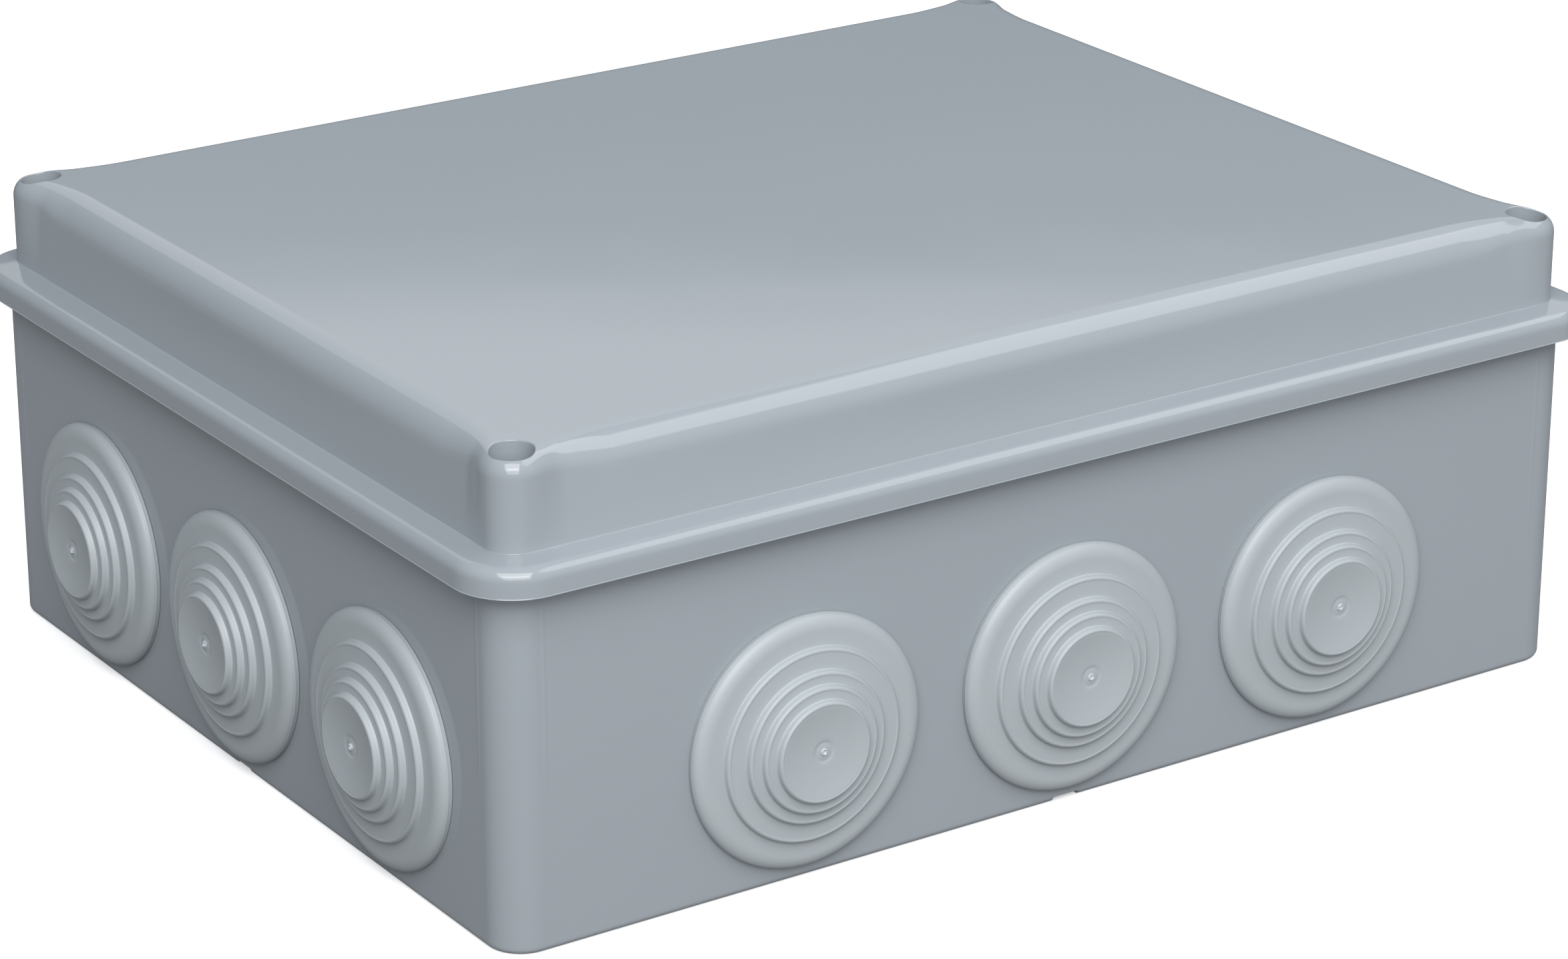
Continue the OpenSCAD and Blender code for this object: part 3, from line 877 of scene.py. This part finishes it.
@dataclass
class Grommet:
    """Blind stepped cable grommet with a thick flange, a snap lip and a torn gate at its middle."""

    side: Side
    number: int
    along: float
    height: float
    wall_face: float
    radius: float
    rings: tuple[float, ...] = (17.75, 13.95, 11.65, 9.35)
    flange: float = 2.6
    step: float = 1.15
    skin: float = 1.2
    ridge: float = 0.05
    dish: float = 0.7
    neck: float = 18.95
    lip: float = 20.5
    lip_depth: float = 1.3
    wall: float = 2.3
    edge_height: float = 1.0
    edge_run: float = 2.65
    tread_round: float = 0.55
    gate: float = 0.5
    gate_width: float = 0.13
    gate_rise: float = 0.2
    pale: float = 0.65

    @property
    def middle(self) -> float:
        """Height of the dished middle over the wall's face."""
        return self.flange + self.step * len(self.rings) - self.ridge - self.dish

    def outside(self) -> list[Pair]:
        """Returns the outer profile, from the neck round the flange and up the steps to the middle."""
        r, high, soft = self.radius, self.flange - self.edge_height, self.tread_round
        points = [(self.neck, 0.0), (r - 0.5, 0.0), (r - 0.12, 0.12), (r - 0.05, 0.45), (r - 0.04, 0.78)]
        points += [(r, 0.84), (r, 0.92), (r - 0.05, 0.98)]
        for a in np.radians(np.linspace(8, 90, 12)):
            out = r - self.edge_run - 0.05 + self.edge_run * math.cos(a)
            points.append((out, self.edge_height + high * math.sin(a)))
        base = self.flange
        for count, ring in enumerate(self.rings, 1):
            top = self.flange + self.step * count
            points += [(ring + 0.35, base), (ring + 0.12, base + 0.02), (ring, base + 0.14)]
            points += [(ring - 0.05, top - 0.6)] + arc(ring - 0.62, top - soft, soft, 8, 72, 5)
            points += [(ring - 0.54, top), (ring - 0.62, top)]
            points += [(ring - 0.7, top - self.ridge * 0.9), (ring - 1.0, top - self.ridge)]
            base = top - self.ridge
        edge = self.rings[-1] - 1.0
        points += [(edge * s, base - self.dish * (1 - s * s)) for s in np.linspace(0.96, 0.26, 12)]
        crater = [(2.05, 0.02), (1.85, -0.05), (1.6, -0.07), (1.35, -0.02), (1.1, 0.0), (0.72, 0.02)]
        stub = [(0.6, 0.14), (0.48, 0.2), (0.34, 0.1), (0.18, -0.08), (0.0, -0.1)]
        return points + [(out, self.middle + rise) for out, rise in crater + stub]

    def inside(self) -> list[Pair]:
        """Returns the inner profile, from the axis down the steps to the snap lip and the neck."""
        drop, bore, foot = self.dish + self.skin, self.neck - 2 * self.skin, -self.wall
        top = self.flange + self.step * len(self.rings)
        points = [(0.0, top - drop), (self.rings[-1] - self.skin - 0.3, top - drop)]
        for ring, nxt in zip(self.rings[::-1], [*self.rings[-2::-1], None]):
            inner = ring - self.skin
            points += [(inner - 0.08, top - drop - 0.08), (inner, top - drop - 0.3)]
            top -= self.step
            if nxt is not None:
                points += [(inner, top - drop + 0.1), (inner + 0.1, top - drop)]
                points += [(nxt - self.skin - 0.3, top - drop)]
        bottom = foot - self.lip_depth
        points += [(bore, self.flange - self.skin), (bore, bottom + 0.3), (bore + 0.3, bottom)]
        points += [(self.neck - 0.2, bottom), (self.neck + 0.1, bottom + 0.1)]
        points += [(self.lip - 0.15, foot - 0.6), (self.lip, foot - 0.45), (self.lip, foot - 0.12)]
        return points + [(self.lip - 0.12, foot), (self.neck, foot)]

    def build(self, finishes: Finishes) -> None:
        """Builds the grommet with its own torn gate and places it."""
        name = f"grommet_{self.side.name.lower()}_{self.number}"
        draw = np.random.default_rng(17 + 5 * self.side.value + self.number)
        phases, tall = draw.uniform(0, 2 * math.pi, 3), draw.uniform(0.7, 1.5)
        middle = self.middle

        def torn(angle: np.ndarray, radius: np.ndarray, height: np.ndarray) -> np.ndarray:
            """Roughens the rim of the gate's stub."""
            ragged = 0.5 + 0.5 * np.sin(2 * angle + phases[0]) * np.sin(3 * angle + phases[1])
            ragged += 0.3 * np.sin(7 * angle + phases[2])
            rim = np.exp(-(((radius - self.gate) / self.gate_width) ** 2)) * (height > middle - 0.2)
            return self.gate_rise * tall * rim * np.clip(ragged, -0.4, 1.0) * (radius < 0.9)

        solid = turned(self.inside() + self.outside(), 144, torn)
        solid = solid.placed(turn=float(draw.uniform(0, 360)))
        # Faces of the gate's stub take the paler colour: partly whitening, partly a painted highlight.
        near = np.hypot(solid.points[:, 0], solid.points[:, 1]) < self.pale
        pale = near & (solid.points[:, 2] > middle - 0.15)
        whitened_and_highlit = [all(pale[i] for i in face) for face in solid.faces]
        solid = solid.placed(tilt=90, shift=(self.along, -self.wall_face, self.height))
        solid = solid.placed(turn=self.side.value * 90)
        mesh = solid.mesh(name)
        looks = [finishes.grommet, finishes.gate_whitening_and_highlight]
        piece = placed_piece(mesh, name + "_rubber", name, "base", looks, 40.0)
        piece.data.polygons.foreach_set("material_index", np.array(whitened_and_highlit, np.int32))


@dataclass
class LidScrew:
    """Zinc-plated lid screw with a rolled thread, a pan head and a cross recess."""

    number: int
    axis: Pair
    tip: float
    head_top: float
    shank: float = 2.0
    core: float = 1.5
    pitch: float = 1.75
    head: float = 3.4
    head_height: float = 2.6
    head_round: float = 1.35
    point: float = 1.6
    point_core: float = 0.45
    plain: float = 1.7
    recess: float = 1.7
    recess_length: float = 4.0

    def build(self, finishes: Finishes) -> None:
        """Builds the screw and places it."""
        seat = self.head_top - self.head_height
        steps, per_turn = 36, 12
        angles = np.linspace(0, 2 * math.pi, steps, endpoint=False)
        rings = []
        for z in np.arange(self.tip, seat - 5.5, self.pitch / per_turn):
            ridge = (0.5 + 0.5 * np.cos(2 * math.pi * z / self.pitch - angles)) ** 1.6
            start = np.clip((z - self.tip) / self.point, 0.0, 1.0)
            run_out = 1 - ease(np.array((z - (seat - 8.0)) / 2.0))
            core = self.point_core + (self.core - self.point_core) * start
            thread = (self.shank - self.core) * ridge * start * run_out
            rings.append(round_ring(core + thread + (self.plain - self.core) * (1 - run_out), z, angles))
        out, r = self.head, self.head_round
        head = [(self.plain, seat - 5.2), (self.plain, seat - 0.3), (self.plain + 0.25, seat)]
        head += [(out - 0.25, seat), (out, seat + 0.25), (out, seat + 1.2)]
        head += arc(out - r, self.head_top - r, r, 8, 82, 6) + [(out - 1.8, self.head_top)]
        rings += [round_ring(radius, z, angles) for radius, z in head]
        body = lofted(np.array(rings)).mesh("screw")
        deep, high = self.head_top - self.recess, self.head_top + 0.5
        wing = swept_bar([(-0.36, deep), (0.36, deep), (0.52, high), (-0.52, high)], self.recess_length)
        wing.points[wing.points[:, 2] < deep + 0.1, 1] *= 0.55
        for turn in (45, 135):
            body = combined(body, wing.placed(turn=turn), "DIFFERENCE")
        body.transform(Matrix.Translation(Vector((*self.axis, 0)) * MM))
        node = f"lid_screw_{self.number}"
        placed_piece(body, node + "_steel", node, f"screw_{self.number}", [finishes.zinc], 30.0)


@dataclass
class SoftSeals:
    """Lid gasket and the washers under the screw heads."""

    plan: Plan
    gasket_low: float
    gasket_high: float
    washer_low: float
    washer_high: float
    width: float = 3.4
    middle: float = -0.15
    gasket_round: float = 0.45
    washer_out: float = 3.57
    washer_in: float = 2.08
    washer_round: float = 0.2

    def build(self, finishes: Finishes) -> None:
        """Builds the gasket and the four washers and places them."""
        low, high, r = self.gasket_low, self.gasket_high, self.gasket_round
        left, right = self.middle - self.width / 2 + r, self.middle + self.width / 2 - r
        section = arc(left, low + r, r, 180, 270, 3) + arc(right, low + r, r, -90, 0, 3)
        section += arc(right, high - r, r, 0, 90, 3) + arc(left, high - r, r, 90, 180, 3)
        walk = self.plan.walk(0.8, 4.0, 6.0, 14)
        gasket = lofted(np.array(walk.rings(section)), looped=True).mesh("gasket")
        placed_piece(gasket, "lid_gasket_foam", "lid_gasket", "lid", [finishes.seal], 50.0)
        low, high, r, out = self.washer_low, self.washer_high, self.washer_round, self.washer_out
        ring = [(self.washer_in, low + r), (self.washer_in + r, low), (out - r, low)]
        ring += arc(out - r, low + r, r, -90, 0, 3)[1:] + arc(out - r, high - r, r, 0, 90, 3)
        ring += [(self.washer_in + r, high), (self.washer_in, high - r)]
        angles = np.linspace(0, 2 * math.pi, 48, endpoint=False)
        for number, axis in enumerate(self.plan.screw_axes, 1):
            rings = [round_ring(radius, z, angles, axis) for radius, z in ring]
            washer = lofted(np.array(rings), looped=True).mesh("washer")
            node = f"screw_seal_{number}"
            placed_piece(washer, node + "_rubber", node, f"seal_{number}", [finishes.seal], 50.0)


@dataclass
class FixingCap:
    """Push-on cap over a wall-fixing hole, with a finger rim and a gate mark."""

    number: int
    low: Triple
    high: Triple
    bore: float = 7.05
    roof: float = 1.3
    edge: float = 1.0

    def build(self, finishes: Finishes) -> None:
        """Builds the cap and places it."""
        foot, top = self.low[2], self.high[2]
        out, roof = (self.high[0] - self.low[0]) / 2, top - self.roof
        profile = [(0.0, roof), (self.bore - 0.3, roof), (self.bore, roof - 0.3), (self.bore, foot + 0.2)]
        profile += [(self.bore + 0.2, foot), (out - 0.25, foot), (out, foot + 0.25), (out, foot + 0.9)]
        profile += [(out - 0.25, foot + 1.1), (out - 0.3, foot + 1.4)]
        profile += arc(out - 0.3 - self.edge, top - self.edge, self.edge, 0, 90, 6)
        profile += [(out - 2.2, top), (out - 2.35, top - 0.12), (out - 2.9, top - 0.2)]
        profile += [(1.2, top - 0.2), (0.9, top - 0.12), (0.6, top - 0.02), (0.0, top)]
        middle = ((self.low[0] + self.high[0]) / 2, (self.low[1] + self.high[1]) / 2, 0)
        solid = turned(profile, 72).placed(shift=middle)
        name = f"fixing_cap_{self.number}"
        placed_piece(solid.mesh(name), name + "_plastic", name, "base", [finishes.cap], 36.0)


# --- Stage ---


@dataclass(frozen=True)
class SoftBox:
    """A rectangular studio light."""

    name: str
    place: Triple
    size: Pair
    power: float
    target: Triple = (0, 0, 0.05)

    def build(self) -> None:
        """Adds the light to the scene."""
        data = bpy.data.lights.new(self.name, "AREA")
        data.shape, data.size, data.size_y = "RECTANGLE", *self.size
        data.energy = self.power
        light = bpy.data.objects.new(self.name, data)
        light.location = self.place
        aim = Vector(self.target) - Vector(self.place)
        light.rotation_euler = aim.to_track_quat("-Z", "Y").to_euler()
        bpy.context.scene.collection.objects.link(light)


@dataclass(frozen=True)
class Studio:
    """Pale floor, soft light and the camera."""

    lens: float = 112.55
    eye: Triple = (-0.4830, -0.7228, 0.3710)
    heading: float = 0.591
    dip: float = 0.373
    floor_size: float = 12.0
    surround: Triple = (0.82, 0.91, 1.0)
    surround_strength: float = 0.29
    boxes: tuple[SoftBox, ...] = (
        SoftBox("high_light", (-0.7, -1.15, 1.45), (1.6, 1.3), 30.0),
        SoftBox("side_light", (1.0, -0.45, 1.5), (2.0, 0.7), 10.5),
        SoftBox("front_fill", (-0.9, -1.7, 1.0), (1.6, 1.2), 19.5),
        SoftBox("sheen_light", (1.02, 1.53, 1.45), (3.0, 1.4), 8.8),
    )

    def floor(self) -> None:
        """Adds the floor."""
        half = self.floor_size / 2
        mesh = bpy.data.meshes.new("floor")
        mesh.from_pydata([(half * sx, half * sy, 0) for sx, sy in CORNERS], [], [(0, 1, 2, 3)])
        mesh.materials.append(FloorFinish().build())
        floor = bpy.data.objects.new("studio_floor", mesh)
        bpy.context.scene.collection.objects.link(floor)

    def surroundings(self) -> None:
        """Sets the even light from all round and the plain view transform."""
        scene = bpy.context.scene
        world = bpy.data.worlds.new("surroundings")
        world.use_nodes = True
        background = world.node_tree.nodes["Background"]
        background.inputs["Color"].default_value = (*self.surround, 1)
        background.inputs["Strength"].default_value = self.surround_strength
        scene.world = world
        scene.view_settings.view_transform = "Standard"
        scene.view_settings.look = "None"

    def camera(self) -> None:
        """Adds the camera."""
        data = bpy.data.cameras.new("front_left_camera")
        data.sensor_width, data.lens = 36.0, self.lens
        data.clip_start, data.clip_end = 0.01, 50.0
        camera = bpy.data.objects.new("front_left_camera", data)
        level = math.cos(self.dip)
        across, ahead = math.sin(self.heading) * level, math.cos(self.heading) * level
        aim = Vector((across, ahead, -math.sin(self.dip)))
        camera.location = self.eye
        camera.rotation_euler = aim.to_track_quat("-Z", "Y").to_euler()
        bpy.context.scene.collection.objects.link(camera)
        bpy.context.scene.camera = camera

    def build(self) -> None:
        """Builds the floor, the lights, the surroundings and the camera."""
        self.floor()
        for box in self.boxes:
            box.build()
        self.surroundings()
        self.camera()


# --- The whole box ---


def limits(node: str) -> tuple[np.ndarray, np.ndarray]:
    """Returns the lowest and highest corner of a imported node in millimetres."""
    low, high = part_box(node)
    return np.array(low) / MM, np.array(high) / MM


@dataclass
class JunctionBox:
    """The whole box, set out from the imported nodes' places."""

    collar_out: float = 2.0
    corner: float = 6.8
    lid_height: float = 22.0

    def plan(self) -> Plan:
        """Returns the plan of the base walls, found from the base's own size."""
        low, high = limits("base")
        half = (high - low) / 2 - self.collar_out
        return Plan(half[0], half[1], self.corner)

    def grommets(self, plan: Plan) -> list[Grommet]:
        """Sets out the grommets, three to a side."""
        made = []
        for side in Side:
            spin = Matrix.Rotation(math.radians(-90 * side.value), 3, "Z")
            for number in (1, 2, 3):
                low, high = limits(f"grommet_{side.name.lower()}_{number}")
                middle = spin @ Vector((low + high) / 2)
                radius = (high[2] - low[2]) / 2
                made.append(Grommet(side, number, middle.x, middle.z, plan.reach(side), radius))
        return made

    def build(self) -> None:
        """Builds every piece of the box."""
        finishes = Finishes.build()
        plan = self.plan()
        lid_top, rim = float(limits("lid")[1][2]), float(limits("base")[1][2])
        caps = [limits(f"fixing_cap_{n}") for n in (1, 2, 3, 4)]
        fixings = [((low[0] + high[0]) / 2, (low[1] + high[1]) / 2) for low, high in caps]
        grommets = self.grommets(plan)
        Base(plan, rim, [(g.side, g.along, g.height) for g in grommets], fixings).build(finishes)
        Lid(plan, lid_top, lid_top - self.lid_height).build(finishes)
        for grommet in grommets:
            grommet.build(finishes)
        gasket, washer = limits("lid_gasket"), limits("screw_seal_1")
        SoftSeals(plan, gasket[0][2], gasket[1][2], washer[0][2], washer[1][2]).build(finishes)
        for number, axis in enumerate(plan.screw_axes, 1):
            low, high = limits(f"lid_screw_{number}")
            LidScrew(number, axis, float(low[2]), float(high[2])).build(finishes)
        for number, (low, high) in enumerate(caps, 1):
            FixingCap(number, tuple(low), tuple(high)).build(finishes)


def main() -> None:
    """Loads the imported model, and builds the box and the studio."""
    logging.basicConfig(level=logging.INFO, format="%(name)s: %(message)s")
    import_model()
    JunctionBox().build()
    Studio().build()


if __name__ == "__main__":
    main()
